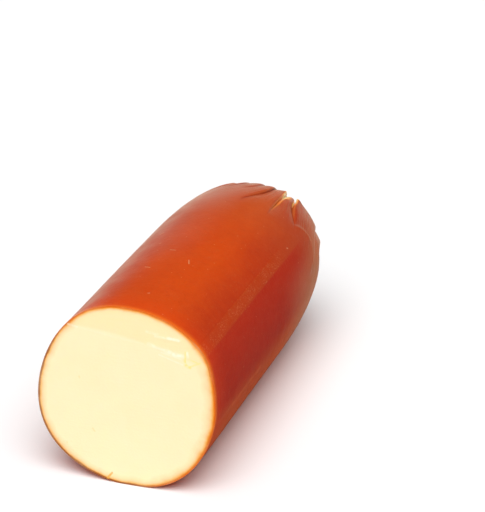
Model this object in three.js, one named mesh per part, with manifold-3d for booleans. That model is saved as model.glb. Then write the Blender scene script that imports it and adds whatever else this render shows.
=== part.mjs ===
// A log of smoked processed cheese, lying on its side with one end cut off by hand.
//
// The log was cast hot in a sleeve that was gathered at its end. So one end is a plain cut face, and the
// other closes in a dome of radial folds. The cheese and its smoked rind are one piece, and one solid.
//
// Millimetres, +Z up. The log runs along Y: the cut face looks to -Y and the gathered end is at +Y. It rests
// on a narrow flat along its underside, and the origin is in that flat's plane, below the middle of the
// bounding box. Angles go round the log's axis in degrees, from +X, on the right of the cut face, towards +Z.
import * as THREE from "three";
import { mergeVertices } from "three/addons/utils/BufferGeometryUtils.js";
import Module from "manifold-3d";

const radians = THREE.MathUtils.degToRad;
const smooth = THREE.MathUtils.smoothstep;

// ---- driving dimensions ----
const RADIUS = 47.5; // the log is about 95 across
const AXIS_LENGTH = 218; // along the axis, from the middle of the cut face to the gathered end
const REST_FLAT_DEPTH = 0.45; // how far its own weight has flattened the underside
// The section is slightly square, and slightly turned. The shares are of the radius.
const SECTION_WAVES = [
  { waves: 3, cosine: -0.008, sine: -0.0025 },
  { waves: 4, cosine: -0.0094, sine: 0.0144 },
];

// The end tapers as a superellipse, from TAPER_START to the end.
const TAPER_START = 122;
const TAPER_POWER = 2.7; // how late the taper sets in
const BLUNT_POWER = 3.75; // how square the shoulder is
const SHOULDER_RADIUS = 36; // inside it, the end is a nearly flat disc
const GATHER_ANGLE = 63; // the folds meet off the axis in this direction, and crowd together there
const GATHER_OFFSET = 9;
const CROWDING = 28; // the folds turn towards GATHER_ANGLE by at most this much, in degrees
const CROWDING_START = 150;
const CROWDING_END = 190;
const PIT_DEPTH = 7; // the pucker where the folds meet
const PIT_RADIUS = 8;

// The folds. Each crease is a step: the surface falls away steeply on one side, from a lip that stands up
// most at the shoulder, and climbs back gently on the other. high is +1 where the lip is at larger angles.
const FOLD_RUN = 30; // a crease reaches its full depth this far from where it starts
const FOLD_FADE_RADIUS = 14; // creases grow shallower inside this radius
const STEEP_REACH = 1; // in degrees
const GENTLE_REACH = 6;
const LIP_ALONG = 196.8;
const LIP_SPREAD = 7;
const TOP_CREASES = [
  { angle: -2, start: 160, depth: 2.2, high: 1, lip: 0.5 },
  { angle: 40.7, start: 157, depth: 3.4, high: -1, lip: 2.5 },
  { angle: 62, start: 147, depth: 2.8, high: 1, lip: 2.2 },
  { angle: 84, start: 151, depth: 1.8, high: 1, lip: 0.6 },
  { angle: 102, start: 170, depth: 1.2, high: 1, lip: 0.2 },
  { angle: 120, start: 172, depth: 1.2, high: 1, lip: 0.2 },
];
const OTHER_CREASES = 13; // unevenly spread over the rest of the way round
const CREASE_JITTER = 4;

// The knife's two strokes. Slopes are millimetres back per millimetre up, or to the right.
const CUT_SLOPE_UP = 0.104;
const CUT_SLOPE_RIGHT = 0.0235;
const SECOND_STROKE_HEIGHT = 31.6; // above the axis, where the strokes meet on the face's middle line
const SECOND_STROKE_FALL = 0.165; // that line falls by this much per millimetre to the right
const SECOND_STROKE_SLOPE = 0.045; // the second stroke's extra slope, above the line

// ---- fineness of the faceted surface ----
const COLUMN_WIDTH = 3; // in degrees, on average
const COLUMN_CROWDING = 0.13; // columns stand closer together beside a crease
const BODY_RINGS = 5;
const END_RINGS = 28;
const FRONT_SPARE = 12; // the body starts this far in front of the cut, and the knife takes it off
const BLOCK = 400; // a side of the blocks that cut

// ---- the log's uncut surface ----

// The section's size at an angle in radians, as a share of RADIUS.
function sectionShare(angle) {
  const wave = ({ waves, cosine, sine }) => cosine * Math.cos(waves * angle) + sine * Math.sin(waves * angle);
  return SECTION_WAVES.reduce((share, each) => share + wave(each), 1);
}

// Half the outline of the end: x is the place along the axis, and y the distance from it.
class EndOutline extends THREE.Curve {
  getPoint(t, target = new THREE.Vector2()) {
    const turn = (t * Math.PI) / 2;
    const along = TAPER_START + (AXIS_LENGTH - TAPER_START) * Math.sin(turn) ** (2 / TAPER_POWER);
    return target.set(along, RADIUS * Math.max(Math.cos(turn), 0) ** (2 / BLUNT_POWER));
  }
}

// A repeatable number from 0 to 1 for each crease and purpose.
function chance(index, purpose) {
  const wave = Math.sin(index * 12.9898 + purpose * 78.233) * 43758.5453;
  return wave - Math.floor(wave);
}

function makeCreases() {
  const last = TOP_CREASES[TOP_CREASES.length - 1].angle;
  const spacing = (360 + TOP_CREASES[0].angle - last) / (OTHER_CREASES + 1);
  const others = Array.from({ length: OTHER_CREASES }, (_, i) => ({
    angle: last + spacing * (i + 1) + CREASE_JITTER * (2 * chance(i, 1) - 1),
    start: 172 + 8 * chance(i, 2),
    depth: 2 + 1.6 * chance(i, 3),
    high: chance(i, 4) < 0.7 ? 1 : -1,
    lip: 0.4 + 1.1 * chance(i, 5),
  }));
  return [...TOP_CREASES, ...others];
}

// The columns of points along the log. Each has its angle, the creases on its two sides, and how far it is
// above the lower one and below the upper one.
function makeColumns() {
  const creases = makeCreases();
  return creases.flatMap((lower, i) => {
    const upper = creases[(i + 1) % creases.length];
    const width = (upper.angle - lower.angle + 360) % 360;
    const count = Math.round(width / COLUMN_WIDTH);
    return Array.from({ length: count }, (_, j) => {
      const above = width * (j / count - COLUMN_CROWDING * Math.sin((2 * Math.PI * j) / count));
      return { angle: lower.angle + above, lower, upper, above, below: width - above };
    });
  });
}

// A column's angle, in radians, once the folds have crowded together.
function crowded(degrees, along) {
  const most = CROWDING * smooth(along, CROWDING_START, CROWDING_END);
  return radians(degrees - most * Math.sin(radians(degrees - GATHER_ANGLE)));
}

// How far one crease raises the surface, at an angle away from it, on its high side or its low side.
function creaseRelief(crease, onHighSide, away, along, radius) {
  const reach = onHighSide ? STEEP_REACH : GENTLE_REACH;
  const run = smooth(along, crease.start, crease.start + FOLD_RUN);
  const fall = -crease.depth * run * Math.min(1, radius / FOLD_FADE_RADIUS) * Math.exp(-away / reach);
  const lip = crease.lip * Math.exp(-Math.abs(along - LIP_ALONG) / LIP_SPREAD - away / GENTLE_REACH);
  return onHighSide ? fall + lip : fall;
}

// A ring of points round the log. outline is a point of the end's outline, and out its outward direction.
function ring(columns, outline, out) {
  const { x: along, y: radius } = outline;
  const offset = GATHER_OFFSET * Math.max(0, 1 - radius / SHOULDER_RADIUS) ** 1.3;
  const pit = PIT_DEPTH * Math.exp(-((radius / PIT_RADIUS) ** 2));
  return columns.map(({ angle: degrees, lower, upper, above, below }) => {
    const angle = crowded(degrees, along);
    const lowerRelief = creaseRelief(lower, lower.high > 0, above, along, radius);
    const relief = lowerRelief + creaseRelief(upper, upper.high < 0, below, along, radius);
    const distance = radius * sectionShare(angle) + relief * out.y;
    return new THREE.Vector3(
      distance * Math.cos(angle) + offset * Math.cos(radians(GATHER_ANGLE)),
      along + relief * out.x - pit,
      distance * Math.sin(angle) + offset * Math.sin(radians(GATHER_ANGLE)),
    );
  });
}

function makeRings() {
  const columns = makeColumns();
  const body = Array.from({ length: BODY_RINGS }, (_, i) => {
    const along = THREE.MathUtils.lerp(-FRONT_SPARE, TAPER_START, i / BODY_RINGS);
    return ring(columns, new THREE.Vector2(along, RADIUS), new THREE.Vector2(0, 1));
  });
  const outline = new EndOutline();
  outline.arcLengthDivisions = 4000;
  const end = Array.from({ length: END_RINGS }, (_, i) => {
    const tangent = outline.getTangentAt(i / END_RINGS);
    return ring(columns, outline.getPointAt(i / END_RINGS), new THREE.Vector2(-tangent.y, tangent.x));
  });
  return [...body, ...end];
}

// A closed skin over rings of equally many points, with a middle point at each end.
function skin(rings) {
  const count = rings[0].length;
  const middle = (ends) => ends.reduce((sum, end) => sum.add(end), new THREE.Vector3()).divideScalar(count);
  const points = [...rings.flat(), middle(rings[0]), middle(rings[rings.length - 1])];
  const [front, back] = [points.length - 2, points.length - 1];
  const faces = [];
  for (let i = 0; i < count; i++) {
    const next = (i + 1) % count;
    faces.push(front, i, next);
    for (let r = 0; r < rings.length - 1; r++) {
      const [a, b, c, d] = [r * count + i, r * count + next, (r + 1) * count + next, (r + 1) * count + i];
      faces.push(a, d, c, a, c, b);
    }
    const lastRing = (rings.length - 1) * count;
    faces.push(back, lastRing + next, lastRing + i);
  }
  return new THREE.BufferGeometry().setFromPoints(points).setIndex(faces);
}

// ---- what is cut away ----

// A block in front of a plane through a point, which leans back by slopes up and to the right.
function knifeBlock(point, slopeUp, slopeRight) {
  const normal = new THREE.Vector3(-slopeRight, 1, -slopeUp).normalize();
  return new THREE.BoxGeometry(BLOCK, BLOCK, BLOCK)
    .translate(0, -BLOCK / 2, 0)
    .applyQuaternion(new THREE.Quaternion().setFromUnitVectors(new THREE.Vector3(0, 1, 0), normal))
    .translate(point.x, point.y, point.z);
}

// The second stroke turns about the line where the strokes meet, and leans further back above it.
function secondStroke() {
  const meeting = new THREE.Vector3(0, CUT_SLOPE_UP * SECOND_STROKE_HEIGHT, SECOND_STROKE_HEIGHT);
  const slopeRight = CUT_SLOPE_RIGHT + SECOND_STROKE_SLOPE * SECOND_STROKE_FALL;
  return knifeBlock(meeting, CUT_SLOPE_UP + SECOND_STROKE_SLOPE, slopeRight);
}

function floorBlock(top) {
  return new THREE.BoxGeometry(BLOCK, 2 * BLOCK, BLOCK).translate(0, 0, top - BLOCK / 2);
}

// ---- solids ----
const wasm = await Module();
wasm.setup();

function solid(geometry) {
  const bare = geometry.clone();
  bare.deleteAttribute("normal");
  bare.deleteAttribute("uv");
  const merged = mergeVertices(bare, 1e-4);
  return new wasm.Manifold(
    new wasm.Mesh({
      numProp: 3,
      vertProperties: new Float32Array(merged.attributes.position.array),
      triVerts: new Uint32Array(merged.index.array),
    }),
  );
}

function geometryOf(manifold) {
  const { vertProperties, triVerts } = manifold.getMesh();
  return new THREE.BufferGeometry()
    .setAttribute("position", new THREE.BufferAttribute(vertProperties, 3))
    .setIndex(new THREE.BufferAttribute(triVerts, 1));
}

function boxOf(geometry) {
  geometry.computeBoundingBox();
  return geometry.boundingBox;
}

function cheeseGeometry() {
  const uncut = skin(makeRings());
  const cuts = [
    knifeBlock(new THREE.Vector3(), CUT_SLOPE_UP, CUT_SLOPE_RIGHT),
    secondStroke(),
    floorBlock(boxOf(uncut).min.z + REST_FLAT_DEPTH),
  ];
  const geometry = geometryOf(cuts.reduce((left, block) => left.subtract(solid(block)), solid(uncut)));
  const { min, max } = boxOf(geometry);
  return geometry.translate(-(min.x + max.x) / 2, -(min.y + max.y) / 2, -min.z);
}

const smokedRind = new THREE.MeshStandardMaterial({ color: 0xc84e1c, roughness: 0.35, metalness: 0 });
const cheese = new THREE.Mesh(cheeseGeometry(), smokedRind);
cheese.name = "cheese";

const log = new THREE.Group();
log.add(cheese);

export default log;
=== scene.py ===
"""A log of smoked processed cheese, lying on its side with one end cut off by hand.

The log was cast hot in a sleeve that was gathered at its end, so one end is a plain cut face and the other
closes in a dome of radial folds. The cheese is one piece and one mesh, with a material for the smoked rind
and one for the cut face. Its surface is worked out from the same named sizes as the solid that it stands
for, with the finer forms added: the lips of the folds, the sleeve's seam and the marks of the knife.

The surface is worked out in millimetres from the middle of the cut face: x to the right, y along the log's
axis towards the gathered end, and z up. Angles go round the axis in degrees, from +X towards +Z. Colours
are linear.
"""

import math

import bpy
import numpy as np
from mathutils import Matrix, Vector


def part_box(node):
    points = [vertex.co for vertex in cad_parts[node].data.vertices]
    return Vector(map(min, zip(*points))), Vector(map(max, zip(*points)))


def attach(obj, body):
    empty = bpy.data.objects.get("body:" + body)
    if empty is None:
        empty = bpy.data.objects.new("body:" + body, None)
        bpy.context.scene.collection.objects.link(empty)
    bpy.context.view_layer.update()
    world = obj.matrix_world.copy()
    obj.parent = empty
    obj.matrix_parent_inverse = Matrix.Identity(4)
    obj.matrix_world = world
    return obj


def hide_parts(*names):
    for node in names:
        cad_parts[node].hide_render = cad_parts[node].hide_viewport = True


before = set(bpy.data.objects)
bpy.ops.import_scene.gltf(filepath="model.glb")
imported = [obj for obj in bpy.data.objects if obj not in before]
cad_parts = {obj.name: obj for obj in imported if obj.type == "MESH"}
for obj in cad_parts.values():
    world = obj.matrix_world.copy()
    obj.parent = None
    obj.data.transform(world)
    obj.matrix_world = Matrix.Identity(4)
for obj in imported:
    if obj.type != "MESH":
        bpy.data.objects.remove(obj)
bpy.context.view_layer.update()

MM = 0.001  # metres

# ---- the log's sizes, as in the solid's source ----
RADIUS = 47.5
AXIS_LENGTH = 218
REST_FLAT_DEPTH = 0.45
SECTION_WAVES = [(3, -0.008, -0.0025), (4, -0.0094, 0.0144)]  # waves, cosine and sine shares

TAPER_START = 122
TAPER_POWER = 2.7
BLUNT_POWER = 3.75
SHOULDER_RADIUS = 36
GATHER_ANGLE = 63
GATHER_OFFSET = 9
GATHER_POWER = 1.3
CROWDING = 28
CROWDING_START = 150
CROWDING_END = 190
PIT_DEPTH = 7
PIT_RADIUS = 8

FOLD_RUN = 30
FOLD_FADE_RADIUS = 14
STEEP_REACH = 1
GENTLE_REACH = 6
LIP_ALONG = 196.8
LIP_SPREAD = 7
TOP_CREASES = [
    {"angle": -2, "start": 160, "depth": 2.2, "high": 1, "lip": 0.5},
    {"angle": 40.7, "start": 157, "depth": 3.4, "high": -1, "lip": 2.5},
    {"angle": 62, "start": 147, "depth": 2.8, "high": 1, "lip": 2.2},
    {"angle": 84, "start": 151, "depth": 1.8, "high": 1, "lip": 0.6},
    {"angle": 102, "start": 170, "depth": 1.2, "high": 1, "lip": 0.2},
    {"angle": 120, "start": 172, "depth": 1.2, "high": 1, "lip": 0.2},
]
OTHER_CREASES = 13
CREASE_JITTER = 4
# What the other creases have: the least, and how much more at most.
OTHER_START = (172, 8)
OTHER_DEPTH = (2, 1.6)
OTHER_LIP = (0.4, 1.1)
HIGH_AHEAD = 0.7  # the chance that the high side is the one at the larger angle

CUT_SLOPE_UP = 0.104
CUT_SLOPE_RIGHT = 0.0235
SECOND_STROKE_HEIGHT = 31.6
SECOND_STROKE_FALL = 0.165
SECOND_STROKE_SLOPE = 0.045
SECOND_STROKE_BOW = 0.0024

# ---- the finer forms ----
# What the solid does without, by the crease's angle. lean is how far a lip hangs over its crease, in degrees.
# gentle is the reach of its gentle side. wall and pale are how much light colour shows where the rind has
# parted, on its steep side and its gentle side: partly bared cheese, and partly a painted glow of light
# through the thin lips. bared is how many degrees of the gentle side are bare at the lip, and up to 1 none
# are. deep is how dark the painted shade at the bottom is, and spread how many degrees that goes up its
# sides.
PLAIN_CREASE = {
    "lean": 0,
    "gentle": GENTLE_REACH,
    "wall": 0,
    "pale": 0,
    "bared": 0.1,
    "deep": 0.6,
    "spread": 1.4,
}
CREASE_DETAILS = {
    -2: {"deep": 0.5},
    40.7: {"lean": 4, "gentle": 3.5, "wall": 0.3, "pale": 0.3, "bared": 3, "deep": 0.4, "spread": 6},
    62: {"wall": 0.35, "pale": 1, "bared": 10, "deep": 0},
    84: {"lean": 1, "wall": 0.2, "deep": 0.9},
}
# The same for the other creases: the least, and how much more at most.
OTHER_WALL = (0, 0.2)
OTHER_DEEP = (0.3, 0.6)
# In millimetres from where a crease starts: where it opens, and where its sides start to part.
OPENS = (6, 20)
PARTS_START = 12
# In millimetres from the lip: where the sides are fully apart, where the lip gets bare, and where the light
# colour fades.
PARTS_END = -4
BARE_LIP = (-11, -5)
PAST_LIP = (1, 13)
PAST_LIP_FADE = 0.85
# How wide the light colour shows, in degrees, and how strongly on the gentle side: where the sides start to
# part, and how much more where they are apart.
WALL_WIDTH = (1.2, 1.2)
GENTLE_WIDTH = (0.8, 3.4)
GENTLE_STRENGTH = (0.45, 0.55)
BARE_WALL = 2  # how much more of it the steep side shows at a bare lip
BOTTOM_SHADE = 0.5  # how much less of it shows at the bottom of a crease, within this many degrees
BOTTOM_WIDTH = 1.5
LEAN_PEAK = 1.2  # a lip leans over most at this many degrees from its crease
STRAIGHT_BODY = 100  # from here forward, the rings slide onto the knife's plane
REST_FLAT_SOFTNESS = 0.2
REST_FLAT_REACH = 6  # the underside is reshaped up to this far above the flat
STROKE_EDGE_SOFTNESS = 0.35  # how rounded the edge between the knife's two strokes is

# A low ridge runs across the top of the end, where the sleeve creased before its folds.
RIDGE_MIDDLE = 28  # the angle where the ridge is furthest back
RIDGE_ALONG = 170
RIDGE_BOW = 0.035
RIDGE_ENDS = [(6, 15), (37, 46)]  # the ridge rises, and dies out, between these angles
RIDGE_HEIGHT = 0.6
RIDGE_DROP = 1.6
RIDGE_RUNS = (6, 1.3, 9)  # over how many millimetres it rises, drops and dies out
RIDGE_HIGHLIGHT_WIDTH = 1.1  # of the painted highlight along its crest

# The seam of the sleeve left a slightly raised band along the log.
SEAM_ANGLES = (33.6, 41.3)
SEAM_END = 142
SEAM_FADE = 35
SEAM_HEIGHT = 0.15
SEAM_EDGES = (0.8, 0.5)  # how soft its edges are, in degrees

# Slow unevenness of the surface: waves round, millimetres along per radian, phase, and height. It dies out
# between these two radii.
UNEVEN_RADII = (5, 30)
UNEVENNESS = [(2, 38, 0.4, 0.12), (3, 27, 2.1, 0.1), (5, 19, 4.0, 0.07), (7, -15, 1.2, 0.04)]

# The knife pressed the log a little flatter near the cut: between which angles, and how far.
PRESSED = [((30, 60), (90, 120), 0.52), ((-10, 8), (16, 30), 0.85)]
PRESSED_ALONG = 45

# What the knife dragged up on the cut face: from (x, z), to (x, z), half width, height.
FACE_RIDGES = [
    ((-31.7, 34.6), (-12.1, 31.8), 0.8, 0.05),
    ((-12.1, 31.8), (7.7, 29.6), 0.8, 0.04),
    ((14.0, 34.2), (26.2, 33.6), 1.1, 0.09),
    ((10.6, 30.0), (16.4, 28.5), 1.2, 0.07),
    ((18.6, 27.9), (28.4, 25.9), 1.4, 0.13),
    ((16.3, 25.2), (28.6, 21.7), 0.7, 0.05),
    ((17.5, 26.5), (28.0, 24.4), 0.5, 0.05),
]

# ---- fineness of the mesh ----
COLUMN_WIDTH = 1.0
COLUMN_CROWDING = 0.13
BODY_RINGS = 52
END_RINGS = 120
OUTLINE_STEPS = 8000
RIM_RINGS = [0.3, 0.65, 1.05, 1.5, 2.1, 2.9, 3.9, 5.1, 6.5]  # millimetres in from the rim
FACE_RINGS = 58  # evenly spread over the rest of the face


# ---- the log's surface ----
def smooth(value, low, high):
    """0 below low, 1 above high, and an even curve between."""
    share = np.clip((value - low) / (high - low), 0, 1)
    return share * share * (3 - 2 * share)


def section_share(angle):
    """The section's size at an angle in radians, as a share of RADIUS."""
    share = 1.0
    for waves, cosine, sine in SECTION_WAVES:
        share = share + cosine * np.cos(waves * angle) + sine * np.sin(waves * angle)
    return share


def chance(index, purpose):
    """A repeatable number from 0 to 1."""
    wave = math.sin(index * 12.9898 + purpose * 78.233) * 43758.5453
    return wave - math.floor(wave)


def varied(span, index, purpose):
    """A repeatable value, from the span's first number up to the sum of its two."""
    return span[0] + span[1] * chance(index, purpose)


def make_creases():
    last = TOP_CREASES[-1]["angle"]
    spacing = (360 + TOP_CREASES[0]["angle"] - last) / (OTHER_CREASES + 1)
    others = [
        {
            "angle": last + spacing * (i + 1) + CREASE_JITTER * (2 * chance(i, 1) - 1),
            "start": varied(OTHER_START, i, 2),
            "depth": varied(OTHER_DEPTH, i, 3),
            "high": 1 if chance(i, 4) < HIGH_AHEAD else -1,
            "lip": varied(OTHER_LIP, i, 5),
        }
        for i in range(OTHER_CREASES)
    ]
    details = [CREASE_DETAILS.get(crease["angle"], {}) for crease in TOP_CREASES]
    details += [
        {"wall": varied(OTHER_WALL, i, 6), "deep": varied(OTHER_DEEP, i, 7)}
        for i in range(OTHER_CREASES)
    ]
    return [PLAIN_CREASE | crease | detail for crease, detail in zip(TOP_CREASES + others, details)]


def make_columns():
    """The columns of points along the log, as arrays: each one's angle, the creases on its two sides, and
    how many degrees it is above the lower crease and below the upper one."""
    creases = make_creases()
    rows = []
    for i, lower in enumerate(creases):
        upper = creases[(i + 1) % len(creases)]
        width = (upper["angle"] - lower["angle"] + 360) % 360
        count = round(width / COLUMN_WIDTH)
        for j in range(count):
            above = width * (j / count - COLUMN_CROWDING * math.sin(2 * math.pi * j / count))
            rows.append((lower["angle"] + above, above, width - above, lower, upper))
    angle, above, below = (np.array([row[i] for row in rows]) for i in range(3))
    lower, upper = ({key: np.array([row[i][key] for row in rows]) for key in creases[0]} for i in (3, 4))
    return angle, above, below, lower, upper


def make_outline():
    """For each ring, its place along the axis, its radius, and the outward direction along and across the
    axis, as columns to set against the columns of points."""
    body = np.linspace(0, TAPER_START, BODY_RINGS, endpoint=False)
    turn = np.linspace(0, math.pi / 2, OUTLINE_STEPS + 1)
    fine_along = TAPER_START + (AXIS_LENGTH - TAPER_START) * np.sin(turn) ** (2 / TAPER_POWER)
    fine_radius = RADIUS * np.maximum(np.cos(turn), 0) ** (2 / BLUNT_POWER)
    length = np.append(0, np.cumsum(np.hypot(np.diff(fine_along), np.diff(fine_radius))))
    places = np.linspace(0, length[-1], END_RINGS, endpoint=False)
    step = length[-1] / OUTLINE_STEPS
    along, next_along = (np.interp(at, length, fine_along) for at in (places, places + step))
    radius, next_radius = (np.interp(at, length, fine_radius) for at in (places, places + step))
    size = np.hypot(next_along - along, next_radius - radius)
    rings = [
        np.append(body, along),
        np.append(np.full(BODY_RINGS, RADIUS), radius),
        np.append(np.zeros(BODY_RINGS), (radius - next_radius) / size),
        np.append(np.ones(BODY_RINGS), (next_along - along) / size),
    ]
    return [ring[:, None] for ring in rings]


def lip_bump(along):
    return np.exp(-np.abs(along - LIP_ALONG) / LIP_SPREAD)


def lip_lean(crease, on_high_side, away, along):
    """How far a lip that hangs over its crease has moved towards it, in degrees."""
    hang = away / LEAN_PEAK * np.exp(1 - away / LEAN_PEAK)
    return np.where(on_high_side, crease["lean"], 0) * hang * lip_bump(along)


def crowded(degrees, along):
    """An angle, once the folds have crowded together."""
    most = CROWDING * smooth(along, CROWDING_START, CROWDING_END)
    return degrees - most * np.sin(np.radians(degrees - GATHER_ANGLE))


def crease_relief(crease, on_high_side, away, along, radius):
    """How far one crease raises the surface, at some degrees away from it."""
    reach = np.where(on_high_side, STEEP_REACH, crease["gentle"])
    run = smooth(along, crease["start"], crease["start"] + FOLD_RUN)
    fade = np.minimum(1, radius / FOLD_FADE_RADIUS)
    fall = -crease["depth"] * run * fade * np.exp(-away / reach)
    lip = crease["lip"] * lip_bump(along) * np.exp(-away / GENTLE_REACH)
    return fall + np.where(on_high_side, lip, 0)


def signed(degrees):
    """The same angle, from -180 to 180."""
    return (degrees + 180) % 360 - 180


def ridge_place(degrees, along):
    """How strong the ridge is at an angle, and how far past its crest a place is."""
    place = signed(degrees)
    past = along - (RIDGE_ALONG - RIDGE_BOW * (place - RIDGE_MIDDLE) ** 2)
    return smooth(place, *RIDGE_ENDS[0]) * (1 - smooth(place, *RIDGE_ENDS[1])), past


def ridge_relief(degrees, along):
    """The low ridge across the end: a slow rise, then a quick drop."""
    window, past = ridge_place(degrees, along)
    rise_run, drop_run, fade_run = RIDGE_RUNS
    rise = RIDGE_HEIGHT * np.exp(np.minimum(past, 0) / rise_run)
    drop = RIDGE_DROP * (1 - np.exp(-np.maximum(past, 0) / drop_run))
    return window * (rise - drop) * np.exp(-np.maximum(past, 0) / fade_run)


def seam_relief(degrees, along):
    """The raised band that the sleeve's seam left."""
    low, high = SEAM_ANGLES
    low_edge, high_edge = SEAM_EDGES
    place = signed(degrees)
    across = smooth(place, low - low_edge, low + low_edge)
    across = across * (1 - smooth(place, high - high_edge, high + high_edge))
    return SEAM_HEIGHT * across * (1 - smooth(along, SEAM_END - SEAM_FADE, SEAM_END))


def unevenness(degrees, along):
    """The slow waves of the surface."""
    relief = 0
    for waves, pace, phase, height in UNEVENNESS:
        relief = relief + height * np.sin(waves * np.radians(degrees) + along / pace + phase)
    return relief


def pressed_relief(degrees, along):
    """How far the knife pressed the log in near the cut."""
    place = signed(degrees)
    relief = 0
    for rise, fall, depth in PRESSED:
        relief = relief - depth * smooth(place, *rise) * (1 - smooth(place, *fall))
    return relief * (1 - smooth(along, 0, PRESSED_ALONG))


def knife_plane(x, z):
    """How far back the cut face is, at a place across the log."""
    beyond = z - SECOND_STROKE_HEIGHT + SECOND_STROKE_FALL * x + SECOND_STROKE_BOW * x * x
    beyond = beyond / STROKE_EDGE_SOFTNESS
    second = SECOND_STROKE_SLOPE * STROKE_EDGE_SOFTNESS * np.logaddexp(0, beyond)
    return CUT_SLOPE_UP * z + CUT_SLOPE_RIGHT * x + second


def press_underside(points):
    """Presses the underside onto the narrow flat that the log rests on."""
    turn = np.radians(np.arange(0, 360, 0.25))
    level = RADIUS * (section_share(turn) * np.sin(turn)).min() + REST_FLAT_DEPTH
    above = points[..., 2] - level
    pressed = level + REST_FLAT_SOFTNESS * np.logaddexp(0, above / REST_FLAT_SOFTNESS)
    points[..., 2] = np.where(above < REST_FLAT_REACH, pressed, points[..., 2])


def rind_surface():
    """The rind's points, ring by ring from the cut to the gathered end, and what its material needs to know
    of each: its place on the unfolded sleeve, how pale its crease is and how dark its painted shade, and how
    near it is to the crest of the ridge, for the painted highlight there."""
    angle, above, below, lower, upper = make_columns()
    along, radius, out_along, out_across = make_outline()
    lower_high, upper_high = lower["high"] > 0, upper["high"] < 0
    leaning = lip_lean(upper, upper_high, below, along) - lip_lean(lower, lower_high, above, along)
    degrees = crowded(angle + leaning, along)
    turn = np.radians(degrees)

    relief = crease_relief(lower, lower_high, above, along, radius)
    relief = relief + crease_relief(upper, upper_high, below, along, radius)
    relief = relief + ridge_relief(degrees, along) + seam_relief(degrees, along)
    relief = relief + unevenness(degrees, along) * smooth(radius, *UNEVEN_RADII)
    relief = relief + pressed_relief(degrees, along)

    gather = math.radians(GATHER_ANGLE)
    offset = GATHER_OFFSET * np.maximum(0, 1 - radius / SHOULDER_RADIUS) ** GATHER_POWER
    pit = PIT_DEPTH * np.exp(-((radius / PIT_RADIUS) ** 2))
    distance = radius * section_share(turn) + relief * out_across
    x = distance * np.cos(turn) + offset * math.cos(gather)
    y = along + relief * out_along - pit
    z = distance * np.sin(turn) + offset * math.sin(gather)
    points = np.stack([x, y, z], axis=-1)
    press_underside(points)
    forward = np.clip(1 - along / STRAIGHT_BODY, 0, 1)
    points[..., 1] += knife_plane(points[..., 0], points[..., 2]) * forward

    flat = np.radians(angle) + 0 * along
    unfolded = np.stack([RADIUS * np.cos(flat), RADIUS * np.sin(flat), along + 0 * flat], axis=-1)
    pale = crease_pale(lower, upper, above, below, along)
    deep = painted_crease_shade(lower, upper, above, below, along)
    window, past = ridge_place(degrees, along)
    crest = window * np.exp(-((past / RIDGE_HIGHLIGHT_WIDTH) ** 2))
    return points, unfolded, pale, deep, crest


def crease_pale(lower, upper, above, below, along):
    """How much light colour shows at a parted crease: partly bared cheese, and partly a painted glow of
    light through the thin lips. It shows most, and widest, towards the lip. The bottom of the crease shows
    less of it, except at a bare lip."""
    pale = 0
    at_lip = smooth(along, LIP_ALONG + BARE_LIP[0], LIP_ALONG + BARE_LIP[1])
    for crease, away, high in ((lower, above, lower["high"] > 0), (upper, below, upper["high"] < 0)):
        opened = smooth(along, crease["start"] + OPENS[0], crease["start"] + OPENS[1])
        parted = smooth(along, crease["start"] + PARTS_START, LIP_ALONG + PARTS_END)
        wall_width, gentle_width = (low + more * parted for low, more in (WALL_WIDTH, GENTLE_WIDTH))
        width = np.where(high, wall_width, gentle_width)
        bare = at_lip * (crease["bared"] > 1)
        wall = crease["wall"] * (1 + BARE_WALL * bare)
        gentle = crease["pale"] * (GENTLE_STRENGTH[0] + GENTLE_STRENGTH[1] * parted)
        strength = np.where(high, wall, gentle)
        pale = pale + opened * strength * np.exp(-((away / width) ** 4))
        pale = pale * (1 - BOTTOM_SHADE * (1 - bare) * np.exp(-((away / BOTTOM_WIDTH) ** 2)))
        pale = pale + np.where(high, 0, bare * np.exp(-((away / crease["bared"]) ** 4)))
    faded = smooth(along, LIP_ALONG + PAST_LIP[0], LIP_ALONG + PAST_LIP[1])
    return np.clip(pale, 0, 1) * (1 - PAST_LIP_FADE * faded)


def painted_crease_shade(lower, upper, above, below, along):
    """How dark the painted shade at the bottom of a closed crease is."""
    deep = 0
    for crease, away in ((lower, above), (upper, below)):
        closed = smooth(along, crease["start"], crease["start"] + 12)
        deep = deep + crease["deep"] * closed * np.exp(-((away / crease["spread"]) ** 2))
    return np.clip(deep, 0, 1)


def segment_distance(x, z, start, end):
    """How far a place on the cut face is from the line between two others."""
    run, rise = end[0] - start[0], end[1] - start[1]
    share = ((x - start[0]) * run + (z - start[1]) * rise) / (run * run + rise * rise)
    share = np.clip(share, 0, 1)
    return np.hypot(x - start[0] - share * run, z - start[1] - share * rise)


def face_relief(x, z):
    """How far the knife's marks stand out of the cut face."""
    relief = 0
    for start, end, width, height in FACE_RIDGES:
        relief = relief + height * np.exp(-((segment_distance(x, z, start, end) / width) ** 2))
    return relief


def face_surface(rim):
    """The cut face's points, ring by ring inwards from the rim, and each one's depth from the rim."""
    middle = rim.mean(axis=0)
    reach = np.hypot(rim[:, 0] - middle[0], rim[:, 2] - middle[2])
    shares = [1 - depth / reach for depth in RIM_RINGS]
    shares += [shares[-1] * share for share in np.linspace(1, 0, FACE_RINGS + 1)[1:]]
    shares = np.array(shares)
    points = middle + (rim - middle) * shares[..., None]
    x, z = points[..., 0], points[..., 2]
    points[..., 1] = knife_plane(x, z) - face_relief(x, z)
    return points, reach * (1 - shares)


# ---- the mesh ----
def ring_quads(first, second):
    """The four-sided faces between two rings of points, given as the numbers of their points."""
    return np.stack([first, np.roll(first, -1), np.roll(second, -1), second], axis=-1)


def add_values(mesh, name, values):
    kind = "FLOAT_VECTOR" if values.ndim == 2 else "FLOAT"
    field = "vector" if values.ndim == 2 else "value"
    mesh.attributes.new(name, kind, "POINT").data.foreach_set(field, values.astype(np.float32).ravel())


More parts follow.
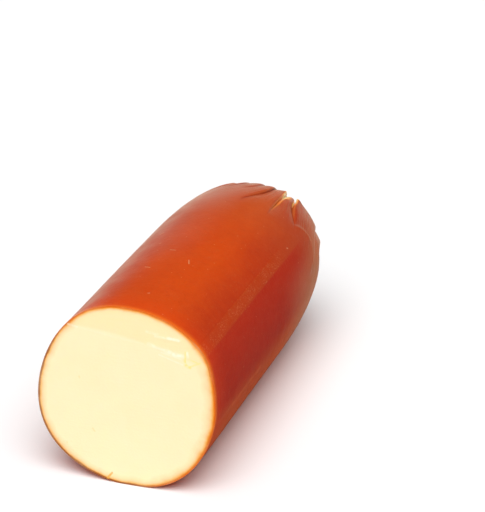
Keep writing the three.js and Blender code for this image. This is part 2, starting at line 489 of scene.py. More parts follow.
def place_in_box(points):
    """Moves the points, in millimetres, to where the solid is, and turns them into metres."""
    low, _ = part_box("cheese")
    points = points * MM
    points[:, 0] -= (points[:, 0].min() + points[:, 0].max()) / 2
    points[:, 1] += low.y - points[:, 1].min()
    points[:, 2] -= points[:, 2].min()
    return points


def closed_skin(rings, middle_number, outward):
    """The faces between rings of points, and the fan that closes the last ring round one point."""
    order = 1 if outward else -1
    quads = [ring_quads(*rings[i : i + 2][::order]) for i in range(len(rings) - 1)]
    last = rings[-1]
    fan = [last, np.roll(last, -1)][::order]
    fan = np.stack([*fan, np.full(len(last), middle_number)], axis=-1)
    return np.concatenate(quads).tolist() + fan.tolist()


def add_rind_values(mesh, total, values):
    """Gives the mesh what the rind's material needs to know. The closing point is as the one before it, and
    the cut face's own points have none."""
    for name, known in values.items():
        every = np.zeros((total, *known.shape[1:]))
        every[: len(known)] = known
        every[len(known)] = known[-1]
        add_values(mesh, name, every)


def finish_mesh(mesh, rind_count, rim_count):
    """Sets each face's material and smooth shading, and keeps the rim's edge sharp."""
    slots = np.ones(len(mesh.polygons), np.int32)
    slots[:rind_count] = 0
    mesh.polygons.foreach_set("material_index", slots)
    mesh.polygons.foreach_set("use_smooth", np.ones(len(slots), bool))
    ends = np.zeros(2 * len(mesh.edges), np.int32)
    mesh.edges.foreach_get("vertices", ends)
    mesh.edges.foreach_set("use_edge_sharp", (ends.reshape(-1, 2) < rim_count).all(axis=1))


def cheese_log(rind, face):
    """The whole log as one piece. The rim of the cut face is shared by the rind and the face."""
    rind_points, unfolded, pale, deep, crest = rind_surface()
    rings, count = rind_points.shape[:2]
    face_points, depth = face_surface(rind_points[0])
    inner_rings = len(face_points) - 1  # the last ring is the face's middle, all one point

    back = rind_points[-1].mean(axis=0)[None]
    middle = face_points[-1, :1]
    points = np.concatenate(
        [rind_points.reshape(-1, 3), back, face_points[:-1].reshape(-1, 3), middle]
    )
    numbers = np.arange(len(points))
    back_number = rings * count
    rind_rings = numbers[:back_number].reshape(rings, count)
    inner_numbers = numbers[back_number + 1 : -1].reshape(inner_rings, count)
    face_rings = np.concatenate([rind_rings[:1], inner_numbers])
    rind_faces = closed_skin(rind_rings, back_number, outward=True)
    face_faces = closed_skin(face_rings, numbers[-1], outward=False)

    mesh = bpy.data.meshes.new("smoked_cheese")
    mesh.from_pydata(place_in_box(points).tolist(), [], rind_faces + face_faces)
    mesh.materials.append(rind)
    mesh.materials.append(face)
    finish_mesh(mesh, len(rind_faces), count)

    values = {"fold_pale": pale.ravel(), "fold_shade": deep.ravel(), "ridge_highlight": crest.ravel()}
    add_rind_values(mesh, len(points), values | {"unfolded": unfolded.reshape(-1, 3)})
    rim_depth = np.zeros(len(points))
    rim_depth[back_number + 1 :] = np.append(depth[:-1].ravel(), depth[-1, 0])
    add_values(mesh, "rim_depth", rim_depth)
    add_values(mesh, "on_face", points[:, [0, 2, 1]] * (1, 1, 0))
    mesh.update()

    piece = bpy.data.objects.new("smoked_cheese", mesh)
    bpy.context.scene.collection.objects.link(piece)
    return piece


# ---- materials ----
class Graph:
    """Adds shader nodes to a material or a world, and links them."""

    def __init__(self, owner, shader="Principled BSDF"):
        owner.use_nodes = True
        self.owner = owner
        self.nodes = owner.node_tree.nodes
        self.links = owner.node_tree.links
        self.shader = self.nodes[shader]

    def add(self, kind, values, **settings):
        node = self.nodes.new(kind)
        for name, value in settings.items():
            setattr(node, name, value)
        for socket, value in values.items():
            self.put(node.inputs[socket], value)
        return node

    def put(self, socket, value):
        if isinstance(value, bpy.types.NodeSocket):
            self.links.new(value, socket)
        else:
            socket.default_value = value

    def finish_with(self, **values):
        for name, value in values.items():
            self.put(self.shader.inputs[name.replace("_", " ")], value)

    def attribute(self, name):
        return self.add("ShaderNodeAttribute", {}, attribute_name=name)

    def math(self, operation, first, second=0.0, third=0.0, clamp=False):
        values = {0: first, 1: second, 2: third}
        return self.add("ShaderNodeMath", values, operation=operation, use_clamp=clamp).outputs[0]

    def times(self, first, *others):
        for other in others:
            first = self.math("MULTIPLY", first, other)
        return first

    def vector(self, operation, first, second):
        return self.add("ShaderNodeVectorMath", {0: first, 1: second}, operation=operation).outputs[0]

    def dot(self, first, second):
        node = self.add("ShaderNodeVectorMath", {0: first, 1: second}, operation="DOT_PRODUCT")
        return node.outputs["Value"]

    def facing(self, place, degrees):
        """For a place on the rind, the cosine of the angle between it and a direction round the log."""
        turn = math.radians(degrees)
        return self.dot(place, (math.cos(turn) / RADIUS, math.sin(turn) / RADIUS, 0))

    def length(self, vector):
        return self.add("ShaderNodeVectorMath", {0: vector}, operation="LENGTH").outputs["Value"]

    def scaled(self, vector, factors):
        return self.vector("MULTIPLY", vector, factors)

    def parts(self, vector):
        return self.add("ShaderNodeSeparateXYZ", {0: vector}).outputs

    def span(self, value, low, high, to_low=0.0, to_high=1.0):
        """Maps low..high onto to_low..to_high with a smooth curve."""
        values = {"Value": value, "From Min": low, "From Max": high, "To Min": to_low, "To Max": to_high}
        node = self.add("ShaderNodeMapRange", values, interpolation_type="SMOOTHSTEP")
        return node.outputs["Result"]

    def side(self, place, degrees, reach):
        """How near a place on the rind is to a direction round the log, over a reach of that cosine."""
        return self.span(self.facing(place, degrees), *reach)

    def near(self, value, middle, far, close):
        """0 where a value is further than far from the middle, and 1 where it is closer than close."""
        return self.span(self.math("ABSOLUTE", self.math("SUBTRACT", value, middle)), far, close)

    def mix(self, share, first, second):
        """A share of the second colour over the first. Either may be a socket or a fixed colour."""
        node = self.add("ShaderNodeMix", {}, data_type="RGBA")
        for socket, value in ((0, share), (6, first), (7, second)):
            self.put(node.inputs[socket], (*value, 1) if isinstance(value, tuple) else value)
        return node.outputs[2]

    def ramp(self, value, stops):
        node = self.add("ShaderNodeValToRGB", {"Fac": value})
        elements = node.color_ramp.elements
        while len(elements) < len(stops):
            elements.new(0.5)
        for element, (place, color) in zip(elements, stops):
            element.position = place
            element.color = (*color, 1)
        return node.outputs["Color"]

    def noise(self, place, scale, detail=2.0, roughness=0.5):
        values = {"Vector": place, "Scale": scale, "Detail": detail, "Roughness": roughness}
        return self.add("ShaderNodeTexNoise", values).outputs["Fac"]

    def specks(self, place, scale, size):
        """1 in round specks of that size, one to each cell of a scattered pattern, and 0 between them."""
        node = self.add("ShaderNodeTexVoronoi", {"Vector": place, "Scale": scale})
        return self.span(node.outputs["Distance"], size, 0.4 * size)

    def mark(self, place, start, end, width):
        """1 on the line between two places, falling to 0 at that distance from it."""
        start, end = Vector(start), Vector(end)
        along = end - start
        away = self.vector("SUBTRACT", place, start)
        share = self.math("DIVIDE", self.dot(away, along), max(along.length_squared, 1e-6), clamp=True)
        foot = self.add("ShaderNodeVectorMath", {0: along, "Scale": share}, operation="SCALE").outputs[0]
        return self.span(self.length(self.vector("SUBTRACT", away, foot)), width, 0.2 * width)

    def bump(self, height, distance, normal=None):
        node = self.add("ShaderNodeBump", {"Height": height, "Distance": distance})
        if normal is not None:
            self.put(node.inputs["Normal"], normal)
        return node.outputs["Normal"]


def on_sleeve(angle, along):
    """A place on the unfolded sleeve, as the rind's material knows it."""
    return RADIUS * math.cos(math.radians(angle)), RADIUS * math.sin(math.radians(angle)), along


BRIGHT_RIND = (0.61, 0.064, 0.005)
DEEP_RIND = (0.45, 0.034, 0.006)
RED_RIND = (0.44, 0.016, 0.005)
BROWN_RIND = (0.43, 0.11, 0.03)
SEAM_RIND = (0.46, 0.045, 0.006)
# A painted glow of light through the rind near the cut:
EDGE_GLOW_RIND = (0.78, 0.15, 0.012)
PAINTED_GLOW_RIND = (0.80, 0.055, 0.004)
# The light colour of parted creases: partly bared cheese, partly a painted glow through the thin lips.
ORANGE_RIND = (0.90, 0.30, 0.06)
PALE_RIND = (0.95, 0.70, 0.36)
BLOOM_AND_SHEEN_RIND = (0.56, 0.21, 0.15)
TAN_SHEEN_RIND = (0.62, 0.245, 0.12)
BOUNCE_LIT_RIND = (0.68, 0.12, 0.025)
DARK_RIND = (0.34, 0.026, 0.006)
SCRATCH = (0.85, 0.45, 0.22)
STRIPE_SHEEN_RIND = (0.72, 0.20, 0.06)

# Where each colour lies. This was matched to one view, so some of it may be that view's light. A SIDE is an
# angle round the log. The others are from, to, and the shares there, or 0 and 1 if none are given: REACH in
# cosines of the angle from the side, ALONG and END in millimetres along the log, ROUND in degrees round it.
SMOKE_AND_SHADE_SIDES = (16, 150)  # deepest colour, partly smoke and partly painted shade
SMOKE_AND_SHADE_REACH = (0.6, 0.97)
SMOKED_ALONG = (0, 140, 0, 0.12)
BROWN_ALONG = (95, 170, 0, 0.35)
# Where the rind is redder, on the right side below the seam: partly its colour, partly painted shade.
RED_REACH = (0.85, 0.96)
RED_ROUND = (34, 32.5)
RED_ALONG = (165, 138, 0, 0.75)
BLOOM_AND_SHEEN_SIDE = 130  # most of the dull bloom, partly the rind's own and partly a painted reflection
BLOOM_AND_SHEEN_REACH = (0.6, 1)
BLOOM_AND_SHEEN_ALONG = [(50, 100, 0, 0.22), (125, 160, 0, 0.5)]
BLOOM_AND_SHEEN_END = (188, 165, 0.55, 1)
FAINT_BLOOM_AND_SHEEN_SIDE = 160  # a fainter bloom and painted reflection over the whole length
FAINT_BLOOM_AND_SHEEN_REACH = (0.68, 1, 0, 0.35)
BOUNCE_LIT_SIDE = -40  # painted light bounced from the floor onto the underside
BOUNCE_LIT_REACH = (0.75, 1, 0, 0.6)
TAN_SIDE = -10  # tan near the gathered end: partly browner rind, partly a painted reflection
TAN_REACH = (0.78, 1)
TAN_ALONG = (100, 170, 0, 0.66)
TAN_END = (195, 168, 0.4, 1)
SHOULDER_SIDE = 32  # painted shade: the end's shoulder is made deep in colour
SHOULDER_REACH = (0.8, 1, 0, 0.4)
SHOULDER_ALONG = (135, 165)
SEAM_ROUND = [(32.8, 34.2), (41.6, 41.1)]
SEAM_ALONG = (0, 60, 0.35, 0.75)
SEAM_LINE = (41.6, 0.7, 0.1)  # the dark line at the seam's upper edge: its middle, and how far it reaches
SEAM_LINE_ALONG = (110, 60)
STRIPE = (-12, 2.2, 0.6)  # a faint light stripe, a painted reflection, along the log; in the same way
STRIPE_ALONG = [(4, 16), (90, 60)]
FOLDS_ALONG = (150, 182)
# A painted glow of light through the rind towards the cut, and a brighter one at its edge:
GLOW_ALONG = (20, 0, 0, 0.3)
EDGE_ALONG = (7, 0)
EDGE_POWER = 4
# How strongly each of these colours the rind.
CRUMB_SHARES = (0.23, 0.05)  # how much more in the seam, and everywhere
SEAM_LINE_SHARE = 0.2
FOLD_SHARE = 0.45
CREASE_SHADE_SHARE = 0.85
RIDGE_HIGHLIGHT_SHARE = 0.45
SPECK_SHARE = 0.35
SCRATCH_SHARE = 0.45
# How far each stands out, in metres.
SKIN_BUMP = 0.00012
FOLD_BUMP = 0.0006
SCRATCH_BUMP = 0.0002
RIND_GLOW = (1.0, 0.35, 0.12)  # how far red, green and blue light spreads inside, as shares
# Small scratches and nicks on the rind: from (angle, along) to (angle, along), and half the width.
SCRATCHES = [
    ((116.7, 102.1), (114.5, 103.1), 0.5),
    ((109.2, 85.2), (108.4, 86.0), 0.45),
    ((97.2, 75.4), (93.8, 75.5), 0.5),
    ((81.0, 66.8), (79.2, 62.8), 0.5),
    ((103.2, 51.5), (99.5, 50.4), 0.5),
    ((87.0, 19.9), (86.2, 20.3), 0.5),
    ((37.5, 136.1), (36.9, 137.0), 0.5),
]


def smoke_and_shade_colors(graph, sleeve, angle, along):
    """Orange, deeper towards the sides and the end, and red below the seam. On the sides this is partly smoke
    and partly painted shade away from the light above.
    """
    broad = graph.noise(sleeve, 0.035, detail=3)
    patchy = graph.noise(sleeve, 0.25, detail=3)
    smoke_and_shade = graph.span(broad, 0.3, 0.7, -0.12, 0.12)
    smoke_and_shade = graph.math("ADD", smoke_and_shade, graph.span(patchy, 0.3, 0.7, -0.08, 0.08))
    smoke_and_shade = graph.math("ADD", smoke_and_shade, graph.span(along, *SMOKED_ALONG))
    # Deeper towards the sides: partly smoke, partly painted shade away from the light above.
    for side in SMOKE_AND_SHADE_SIDES:
        smoke_and_shade = graph.math("ADD", smoke_and_shade, graph.side(sleeve, side, SMOKE_AND_SHADE_REACH))
    smoke_and_shade = graph.math("MINIMUM", graph.math("MAXIMUM", smoke_and_shade, 0.0), 1.0)
    color = graph.mix(smoke_and_shade, BRIGHT_RIND, DEEP_RIND)
    color = graph.mix(graph.span(along, *BROWN_ALONG), color, BROWN_RIND)
    # Redder on the right side below the seam: partly the rind's colour, partly painted shade.
    red = graph.times(graph.span(angle, *RED_ROUND), graph.side(sleeve, SMOKE_AND_SHADE_SIDES[0], RED_REACH))
    red = graph.times(red, graph.span(along, *RED_ALONG))
    return graph.mix(red, color, RED_RIND)


def side_colors(graph, color, sleeve, along):
    """The dull bloom on the left, partly a painted reflection; the painted light bounced onto the underside;
    the tan near the end, partly a painted reflection; and the painted shade on its shoulder.
    """
    # A dull bloom on the left and a fainter one all along: partly the rind's own, partly painted reflection.
    bloom_and_sheen = graph.math("ADD", *(graph.span(along, *reach) for reach in BLOOM_AND_SHEEN_ALONG))
    bloom_and_sheen = graph.times(bloom_and_sheen, graph.span(along, *BLOOM_AND_SHEEN_END), graph.side(sleeve, BLOOM_AND_SHEEN_SIDE, BLOOM_AND_SHEEN_REACH))
    bloom_and_sheen = graph.math("MAXIMUM", bloom_and_sheen, graph.side(sleeve, FAINT_BLOOM_AND_SHEEN_SIDE, FAINT_BLOOM_AND_SHEEN_REACH))
    color = graph.mix(bloom_and_sheen, color, BLOOM_AND_SHEEN_RIND)
    # Painted light bounced from the floor onto the underside.
    color = graph.mix(graph.side(sleeve, BOUNCE_LIT_SIDE, BOUNCE_LIT_REACH), color, BOUNCE_LIT_RIND)
    # Tan near the gathered end: partly browner rind, partly a painted reflection.
    tan = graph.times(graph.span(along, *TAN_ALONG), graph.side(sleeve, TAN_SIDE, TAN_REACH))
    color = graph.mix(graph.times(graph.span(along, *TAN_END), tan), color, TAN_SHEEN_RIND)
    # Painted shade: the end's shoulder is made deep in colour.
    shoulder = graph.side(sleeve, SHOULDER_SIDE, SHOULDER_REACH)
    shoulder = graph.times(graph.span(along, *SHOULDER_ALONG), shoulder)
    return graph.mix(shoulder, color, DEEP_RIND)


def seam_colors(graph, color, sleeve, angle, along):
    """The seam's band with its crumbs and its dark line, and the faint painted reflection lower down."""
    in_seam = graph.times(*(graph.span(angle, *reach) for reach in SEAM_ROUND))
    in_seam = graph.times(in_seam, graph.span(along, SEAM_END, SEAM_END - SEAM_FADE))
    color = graph.mix(graph.times(in_seam, graph.span(along, *SEAM_ALONG)), color, SEAM_RIND)
    clumps = graph.span(graph.noise(sleeve, 0.16, detail=2), 0.4, 0.6)
    crumbs = graph.times(graph.span(graph.noise(sleeve, 1.3, detail=2), 0.55, 0.7), clumps)
    crumbs = graph.times(crumbs, graph.math("MULTIPLY_ADD", in_seam, *CRUMB_SHARES))
    color = graph.mix(crumbs, color, SCRATCH)
    line = graph.times(graph.near(angle, *SEAM_LINE), graph.span(along, *SEAM_LINE_ALONG))
    color = graph.mix(graph.times(line, SEAM_LINE_SHARE), color, DARK_RIND)
    # A faint painted reflection along the lower side.
    stripe = graph.times(*(graph.span(along, *reach) for reach in STRIPE_ALONG))
    stripe = graph.times(graph.near(angle, *STRIPE), stripe)
    return graph.mix(graph.times(stripe, graph.span(clumps, 0, 1, 0.1, 0.3)), color, STRIPE_SHEEN_RIND)


def fold_colors(graph, color, sleeve, folds):
    """The fine grain, brown streaks along the folds, the creases' painted shade at their bottoms, the painted
    highlight on the ridge's crest, and the light colour of parted creases: bared cheese and painted glow.
    """
    grain = graph.noise(sleeve, 0.7, detail=4, roughness=0.7)
    color = graph.mix(graph.span(grain, 0.5, 0.75, 0, 0.3), color, BROWN_RIND)
    color = graph.mix(graph.span(grain, 0.5, 0.25, 0, 0.25), color, DARK_RIND)
    fold_lines, on_folds = folds
    folded = graph.times(graph.span(fold_lines, 0.42, 0.66), on_folds)
    color = graph.mix(graph.times(folded, FOLD_SHARE), color, BROWN_RIND)
    pale, deep, crest = (
        graph.attribute(name).outputs["Fac"] for name in ("fold_pale", "fold_shade", "ridge_highlight")
    )
    # Painted shade at the bottoms of the creases.
    color = graph.mix(graph.times(deep, CREASE_SHADE_SHARE), color, DARK_RIND)
    # A painted highlight along the ridge's crest.
    color = graph.mix(graph.times(crest, RIDGE_HIGHLIGHT_SHARE), color, TAN_SHEEN_RIND)
    # Light colour at parted creases: partly bared cheese, partly a painted glow of light through the thin
    # lips.
    color = graph.mix(graph.span(pale, 0, 0.5), color, ORANGE_RIND)
    return graph.mix(graph.span(pale, 0.5, 1), color, PALE_RIND)


def glow_colors(graph, color, along):
    """A painted glow towards the cut, and a brighter painted glow at its edge, as of light through the rind.
    """
    color = graph.mix(graph.span(along, *GLOW_ALONG), color, PAINTED_GLOW_RIND)
    return graph.mix(graph.math("POWER", graph.span(along, *EDGE_ALONG), EDGE_POWER), color, EDGE_GLOW_RIND)


def all_scratches(graph, sleeve):
    """1 on the scratches and nicks, and 0 away from them."""
    scratched = 0.0
    for start, end, width in SCRATCHES:
        line = graph.mark(sleeve, on_sleeve(*start), on_sleeve(*end), width)
        scratched = graph.math("MAXIMUM", scratched, line)
    return scratched


def rind_material():
    """The smoked rind: orange, deeper and redder down the sides, partly as painted shade, and brown in the
    folds.
    """
    graph = Graph(bpy.data.materials.new("smoked_rind"))
    sleeve = graph.attribute("unfolded").outputs["Vector"]
    x, y, along = graph.parts(sleeve)
    angle = graph.math("DEGREES", graph.math("ARCTAN2", y, x))
    fold_lines = graph.noise(graph.scaled(sleeve, (1, 1, 0.06)), 0.55, detail=3, roughness=0.6)
    on_folds = graph.span(along, *FOLDS_ALONG)

    color = smoke_and_shade_colors(graph, sleeve, angle, along)
    color = side_colors(graph, color, sleeve, along)
    color = seam_colors(graph, color, sleeve, angle, along)
    color = fold_colors(graph, color, sleeve, (fold_lines, on_folds))
    color = glow_colors(graph, color, along)
    specks = graph.specks(sleeve, 0.16, 0.07)
    color = graph.mix(graph.times(specks, SPECK_SHARE), color, SCRATCH)
    scratched = all_scratches(graph, sleeve)
    color = graph.mix(graph.times(scratched, SCRATCH_SHARE), color, SCRATCH)

    skin = graph.noise(sleeve, 0.35, detail=5, roughness=0.6)
    normal = graph.bump(skin, SKIN_BUMP)
    normal = graph.bump(graph.times(fold_lines, on_folds), FOLD_BUMP, normal)
    normal = graph.bump(graph.times(scratched, -1), SCRATCH_BUMP, normal)
    roughness = graph.span(graph.noise(sleeve, 0.09, detail=4), 0.3, 0.7, 0.28, 0.38)
    graph.finish_with(Base_Color=color, Roughness=roughness, Normal=normal, IOR=1.45)
    graph.finish_with(Specular_IOR_Level=0.2, Specular_Tint=(1.0, 0.8, 0.65, 1), Subsurface_Weight=0.2)
    graph.finish_with(Subsurface_Scale=0.004)
    graph.shader.inputs["Subsurface Radius"].default_value = RIND_GLOW
    return graph.owner


CREAM = (0.92, 0.82, 0.52)
# A darker cream: painted shade on the knife's second stroke, and random mottling elsewhere.
CREAM_SHADE = (0.92, 0.765, 0.43)
# Painted glints on the knife's marks:
GLINT_CREAM = (0.93, 0.895, 0.70)
MARK_ORANGE = (0.85, 0.42, 0.07)
MARK_YELLOW = (0.93, 0.76, 0.25)
MARK_OCHRE = (0.84, 0.66, 0.24)
TORN_BROWN = (0.60, 0.19, 0.02)
# How the smoke has coloured the cheese inwards from the rim: depth in millimetres, and colour.
SMOKED_RIM = [
    (0.0, (0.64, 0.11, 0.004)),
    (0.5, (0.68, 0.14, 0.004)),
    (0.9, (0.77, 0.22, 0.01)),
    (1.35, (0.87, 0.38, 0.075)),
    (1.9, (0.90, 0.53, 0.20)),
    (2.7, (0.91, 0.64, 0.34)),
    (3.9, (0.92, 0.74, 0.43)),
    (6.0, CREAM),
]
DARK_RIM = (0.30, 0.10, 0.03)
DARK_RIM_REACH = (0.0, 0.55)
DARK_RIM_DEPTH = (1.7, 0.8)
DARK_RIM_SHARE = 0.9
SOAKED_SIDE = 0  # the smoke has soaked in deepest on this side
SOAKED_REACH = (0, 1, 1.25, 0.85)
STROKE_SHADE_EDGE = 0.9
DRAG_BUMP = 0.00005
FINE_BUMP = 0.0001
CREAM_GLOW = (1.0, 0.6, 0.3)
STROKE_SHADE = (1, 4, 0, 0.8)  # by the depth from the rim, as from, to, and the shares there
DARK_RIM_SIDE = 215  # the rim has a dark edge on this side, as an angle round the face
# Marks on the cut face: from (x, z), to (x, z), half the width, colour, and how strong they are. The light
# cream ones are painted glints on what the knife dragged up and along its line; the rest are the cheese's
# own.
FACE_MARKS = [
    ((9.5, 36.1), (15.0, 35.4), 1.1, GLINT_CREAM, 0.35),
    ((14.1, 34.2), (24.0, 34.0), 0.9, GLINT_CREAM, 0.5),
    ((20.5, 34.2), (26.2, 33.7), 1.1, GLINT_CREAM, 0.85),
    ((10.6, 30.0), (13.4, 29.2), 1.3, GLINT_CREAM, 0.65),
    ((14.0, 29.0), (18.5, 28.1), 1.1, GLINT_CREAM, 0.5),
    ((19.6, 27.7), (22.5, 27.0), 1.5, GLINT_CREAM, 0.85),
    ((23.8, 26.6), (28.2, 26.0), 1.7, GLINT_CREAM, 1.0),
    ((30.7, 28.1), (31.2, 26.0), 1.0, GLINT_CREAM, 0.8),
    ((17.5, 26.5), (28.0, 24.4), 0.6, GLINT_CREAM, 0.45),
    ((16.3, 25.2), (28.6, 21.7), 0.6, GLINT_CREAM, 0.5),
    ((-31.5, 34.2), (-26.8, 33.4), 0.9, GLINT_CREAM, 0.5),
    ((-26.8, 33.4), (-11.9, 31.6), 0.8, GLINT_CREAM, 0.15),
    ((-11.9, 31.6), (7.7, 29.6), 0.8, GLINT_CREAM, 0.15),
    ((29.7, 28.3), (29.9, 23.2), 0.55, MARK_YELLOW, 0.9),
    ((29.3, 24.2), (30.5, 21.8), 1.0, MARK_YELLOW, 0.5),
    ((30.4, 21.5), (32.4, 20.8), 1.3, MARK_YELLOW, 0.8),
    ((32.4, 21.2), (37.6, 23.8), 0.8, MARK_YELLOW, 0.55),
    ((32.4, 24.8), (37.1, 23.5), 0.6, MARK_YELLOW, 0.55),
    ((-13.4, 39.5), (-2.9, 40.4), 0.8, MARK_YELLOW, 0.12),
    ((-25.6, 7.5), (-25.3, 6.9), 0.75, MARK_OCHRE, 0.55),
    ((-17.9, -19.2), (-16.8, -20.6), 0.65, MARK_OCHRE, 0.6),
    ((-31.7, -28.8), (-31.4, -29.2), 0.6, MARK_OCHRE, 0.4),
    ((-9.5, -44.6), (-7.3, -41.6), 0.9, MARK_ORANGE, 1.0),
    ((37.4, 30.8), (39.9, 26.9), 0.5, TORN_BROWN, 0.7),
    ((39.9, 26.9), (41.3, 23.9), 0.55, TORN_BROWN, 0.9),
    ((41.3, 23.9), (42.2, 20.9), 0.5, TORN_BROWN, 0.9),
    ((42.2, 20.9), (42.9, 17.7), 0.45, TORN_BROWN, 0.7),
]


def smoked_rim(graph, place, depth):
    """The cheese's colour by the depth from the rim, with the dark edge on one side."""
    deepest = SMOKED_RIM[-1][0]
    stops = [(reach / deepest, color) for reach, color in SMOKED_RIM]
    color = graph.ramp(graph.math("DIVIDE", depth, deepest, clamp=True), stops)
    dark = graph.times(graph.side(place, DARK_RIM_SIDE, DARK_RIM_REACH), graph.span(depth, *DARK_RIM_DEPTH))
    return graph.mix(graph.times(dark, DARK_RIM_SHARE), color, DARK_RIM)


def second_stroke(graph, x, z, depth):
    """How much painted shade the knife's second stroke gets, which fades out towards the rim."""
    bow = graph.times(x, x, SECOND_STROKE_BOW)
    beyond = graph.math("ADD", z, graph.math("MULTIPLY_ADD", x, SECOND_STROKE_FALL, bow))
    low, high = SECOND_STROKE_HEIGHT - STROKE_SHADE_EDGE, SECOND_STROKE_HEIGHT + STROKE_SHADE_EDGE
    return graph.times(graph.span(beyond, low, high), graph.span(depth, *STROKE_SHADE))


def cut_material():
    """The cut face: cream, with the smoke's colour soaked in from the rim and the marks of the knife."""
    graph = Graph(bpy.data.materials.new("cut_cheese"))
    place = graph.attribute("on_face").outputs["Vector"]
    x, z, _ = graph.parts(place)
    depth = graph.attribute("rim_depth").outputs["Fac"]
    wander = graph.noise(place, 0.12, detail=3)
    depth = graph.times(depth, graph.span(wander, 0.3, 0.7, 0.85, 1.2))
    depth = graph.times(depth, graph.side(place, SOAKED_SIDE, SOAKED_REACH))

    color = smoked_rim(graph, place, depth)
    # Painted shade on the knife's second stroke.
    color = graph.mix(second_stroke(graph, x, z, depth), color, CREAM_SHADE)
    mottle = graph.noise(place, 0.05, detail=3)
    color = graph.mix(graph.span(mottle, 0.35, 0.75, 0, 0.2), color, CREAM_SHADE)
    patchy = graph.span(graph.noise(place, 0.45, detail=2), 0.35, 0.6, 0.45, 1)
    # The light cream marks are painted glints; the others are the cheese's own marks.
    for start, end, width, tint, strength in FACE_MARKS:
        line = graph.mark(place, (*start, 0), (*end, 0), width)
        color = graph.mix(graph.times(line, graph.times(patchy, strength)), color, tint)

    drag = graph.noise(graph.scaled(place, (0.05, 1, 1)), 0.8, detail=3)
    fine = graph.noise(place, 0.8, detail=5, roughness=0.6)
    normal = graph.bump(fine, FINE_BUMP, graph.bump(drag, DRAG_BUMP))
    graph.finish_with(Base_Color=color, Roughness=0.5, Normal=normal, IOR=1.42, Specular_IOR_Level=0.15)
    graph.finish_with(Subsurface_Weight=0.2, Subsurface_Scale=0.002)
    graph.shader.inputs["Subsurface Radius"].default_value = CREAM_GLOW
    return graph.owner


# ---- floor, light and camera ----
FLOOR_SIZE = 30
FLOOR_COLOR = (0.92, 0.92, 0.92)
# For reflections alone, the studio is dark on the right, past a line through the log at this angle from +Y,
# and its floor is dark there too. What the rind reflects there keeps its depth of colour.
DARK_SIDE_ANGLE = 14
DARK_FLOOR = (0.07, 0.07, 0.07)
DARK_FLOOR_EDGE = (-0.04, 0.04)  # metres from that line
DARK_SKY_EDGE = (-0.25, 0)  # cosines of the angle from the dark side
DARK_SKY_TOP = (0.7, 0.4)  # the dark side ends between these sines of the elevation
WARM_FLOOR = (0.92, 0.84, 0.66)  # the rest of the floor, for reflections alone
SUN_DIRECTION = (0.15, -0.45, 0.95)
SUN_STRENGTH = 3.2
SUN_ANGLE = 60
# The surroundings' brightness, by the sine of the elevation.
SKY = [(-0.2, 1.2), (0.0, 1.0), (0.13, 0.4), (0.26, 0.06), (0.7, 0.05), (0.95, 0.5)]
DARK_SKY = 0.05  # the same on the dark side
WARM_GLOSS = (1.0, 0.935, 0.80)  # the tint of what the rind reflects
SKY_SEEN = 0.95

CAMERA_PLACE = (0.342365, -0.91116, 0.51578)
CAMERA_AZIMUTH = 19.267
CAMERA_ELEVATION = 24.204
FOCAL_PIXELS = 2000
PICTURE_HEIGHT = 512
SENSOR = 36


def dark_way():
    """The level direction towards the studio's dark side."""
    turn = math.radians(DARK_SIDE_ANGLE)
    return math.cos(turn), -math.sin(turn), 0


def make_floor():
    half = FLOOR_SIZE / 2
    mesh = bpy.data.meshes.new("floor")
    corners = [(-half, -half, 0), (half, -half, 0), (half, half, 0), (-half, half, 0)]
    mesh.from_pydata(corners, [], [(0, 1, 2, 3)])
    graph = Graph(bpy.data.materials.new("pale_floor"))
    in_gloss = graph.add("ShaderNodeLightPath", {}).outputs["Is Glossy Ray"]
    place = graph.add("ShaderNodeTexCoord", {}).outputs["Object"]
    dark = graph.span(graph.dot(place, dark_way()), *DARK_FLOOR_EDGE)
    reflected = graph.mix(dark, WARM_FLOOR, DARK_FLOOR)
    color = graph.mix(in_gloss, FLOOR_COLOR, reflected)
    graph.finish_with(Base_Color=color, Roughness=0.9, Specular_IOR_Level=0.1)
    mesh.materials.append(graph.owner)
    floor = bpy.data.objects.new("floor", mesh)
    bpy.context.scene.collection.objects.link(floor)


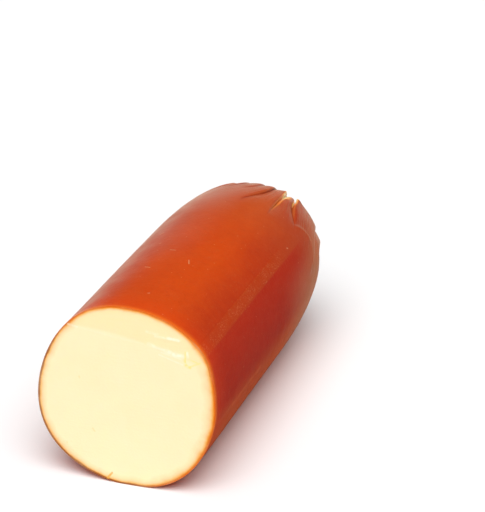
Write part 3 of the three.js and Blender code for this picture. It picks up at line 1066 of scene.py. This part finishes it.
def make_light():
    light = bpy.data.lights.new("softbox", "SUN")
    light.energy = SUN_STRENGTH
    light.angle = math.radians(SUN_ANGLE)
    lamp = bpy.data.objects.new("softbox", light)
    lamp.rotation_euler = Vector(SUN_DIRECTION).to_track_quat("Z", "Y").to_euler()
    bpy.context.scene.collection.objects.link(lamp)


def make_surroundings():
    """A dim studio, brighter round the horizon and overhead, and pale where it is seen itself. For
    reflections alone it is warm, and dark on one side."""
    world = bpy.data.worlds.new("studio")
    bpy.context.scene.world = world
    graph = Graph(world, "Background")
    direction = graph.add("ShaderNodeTexCoord", {}).outputs["Generated"]
    z = graph.parts(direction)["Z"]
    low, high = SKY[0][0], SKY[-1][0]
    stops = [((sine - low) / (high - low), (gray,) * 3) for sine, gray in SKY]
    sky = graph.ramp(graph.math("DIVIDE", graph.math("SUBTRACT", z, low), high - low), stops)
    dark = graph.span(graph.dot(direction, dark_way()), *DARK_SKY_EDGE)
    dark = graph.times(dark, graph.span(z, *DARK_SKY_TOP))
    ray = graph.add("ShaderNodeLightPath", {}).outputs
    warm = graph.vector("MULTIPLY", sky, WARM_GLOSS)
    reflected = graph.mix(dark, warm, (DARK_SKY,) * 3)
    sky = graph.mix(ray["Is Glossy Ray"], sky, reflected)
    graph.finish_with(Color=graph.mix(ray["Is Camera Ray"], sky, (SKY_SEEN,) * 3))


def make_camera():
    turn, tilt = math.radians(CAMERA_AZIMUTH), math.radians(CAMERA_ELEVATION)
    forward = Vector((-math.sin(turn) * math.cos(tilt), math.cos(turn) * math.cos(tilt), -math.sin(tilt)))
    right = Vector((math.cos(turn), math.sin(turn), 0))
    axes = Matrix((right, right.cross(forward), -forward)).transposed()
    data = bpy.data.cameras.new("camera")
    data.sensor_width = SENSOR
    data.lens = FOCAL_PIXELS * SENSOR / PICTURE_HEIGHT
    data.clip_start = 0.01
    camera = bpy.data.objects.new("camera", data)
    camera.matrix_world = Matrix.Translation(CAMERA_PLACE) @ axes.to_4x4()
    bpy.context.scene.collection.objects.link(camera)
    bpy.context.scene.camera = camera


def corners(box):
    return [list(corner) for corner in box]


log = cheese_log(rind_material(), cut_material())
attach(log, "root")
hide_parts("cheese")

make_floor()
make_light()
make_surroundings()
make_camera()
bpy.context.scene.view_settings.view_transform = "Standard"
